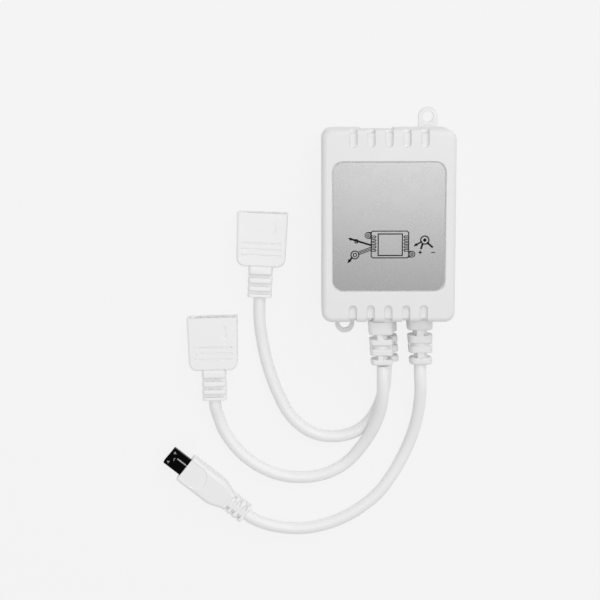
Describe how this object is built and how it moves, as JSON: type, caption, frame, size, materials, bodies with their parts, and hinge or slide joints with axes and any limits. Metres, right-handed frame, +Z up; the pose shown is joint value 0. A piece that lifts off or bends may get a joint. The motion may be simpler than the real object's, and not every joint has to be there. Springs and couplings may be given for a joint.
{
  "type": "led strip controller",
  "caption": "White LED strip controller box with mounting ears, vent grooves and three short leads to flat strip sockets and a receiver plug.",
  "frame": {"origin": "on the underside of the housing, at the middle between its two end walls and its two side walls", "axes": "+Y along the housing from the leads' end to the power inlet's end, +Z up through the label, +X towards the side that is farther from the sockets"},
  "size_m": [0.0997, 0.1496, 0.022],
  "materials": {
    "abs_white": "satin",
    "pvc_white": "satin",
    "label_foil": "satin foil",
    "board_green": "solder mask",
    "black_plastic": "matte",
    "bright_metal": "plated",
    "capacitor_sleeve": "glossy sleeve",
    "chip_ceramic": "ceramic",
    "solder": "solder",
    "wire_insulation": "four colours, one for each conductor",
    "insert_white": "satin",
    "contact_brass": "plated",
    "black_metal": "black, half gloss"
  },
  "bodies": {
    "housing": {"base_shell": "abs_white", "circuit_board": "board_green", "jack_housing": "black_plastic", "jack_pin": "bright_metal", "jack_spring": "bright_metal", "control_chip": "black_plastic", "memory_chip": "black_plastic", "voltage_regulator": "black_plastic", "transistor_1": "black_plastic", "transistor_2": "black_plastic", "transistor_3": "black_plastic", "smoothing_capacitor": "capacitor_sleeve", "input_diode": "black_plastic", "chip_resistors": "black_plastic", "chip_capacitors": "chip_ceramic", "solder_joints": "solder", "upper_strain_relief": "pvc_white", "lower_strain_relief": "pvc_white", "receiver_strain_relief": "pvc_white", "upper_wires": "wire_insulation", "lower_wires": "wire_insulation", "receiver_wires": "wire_insulation", "upper_cord": "pvc_white", "lower_cord": "pvc_white", "receiver_cord": "pvc_white", "upper_socket_body": "pvc_white", "upper_socket_insert": "insert_white", "upper_socket_contacts": "contact_brass", "lower_socket_body": "pvc_white", "lower_socket_insert": "insert_white", "lower_socket_contacts": "contact_brass", "plug_body": "pvc_white", "plug_shell": "black_metal", "plug_tongue": "black_plastic", "plug_contacts": "contact_brass"},
    "cover": {"top_cover": "abs_white", "label_plate": "label_foil"},
    "latch": {"plug_latch": "black_metal"}
  },
  "joints": [
    {"name": "cover_lift", "type": "slide", "parent": "housing", "child": "cover", "axis": [0, 0, 1], "range_m": [0, 0.03]},
    {"name": "latch_press", "type": "hinge", "parent": "housing", "child": "latch", "pos_m": [-0.06946, -0.08637, 0.00395], "axis": [-0.6252, -0.7804, 0], "range_deg": [0, 3.5], "stiffness_Nm_per_rad": 0.05}
  ]
}
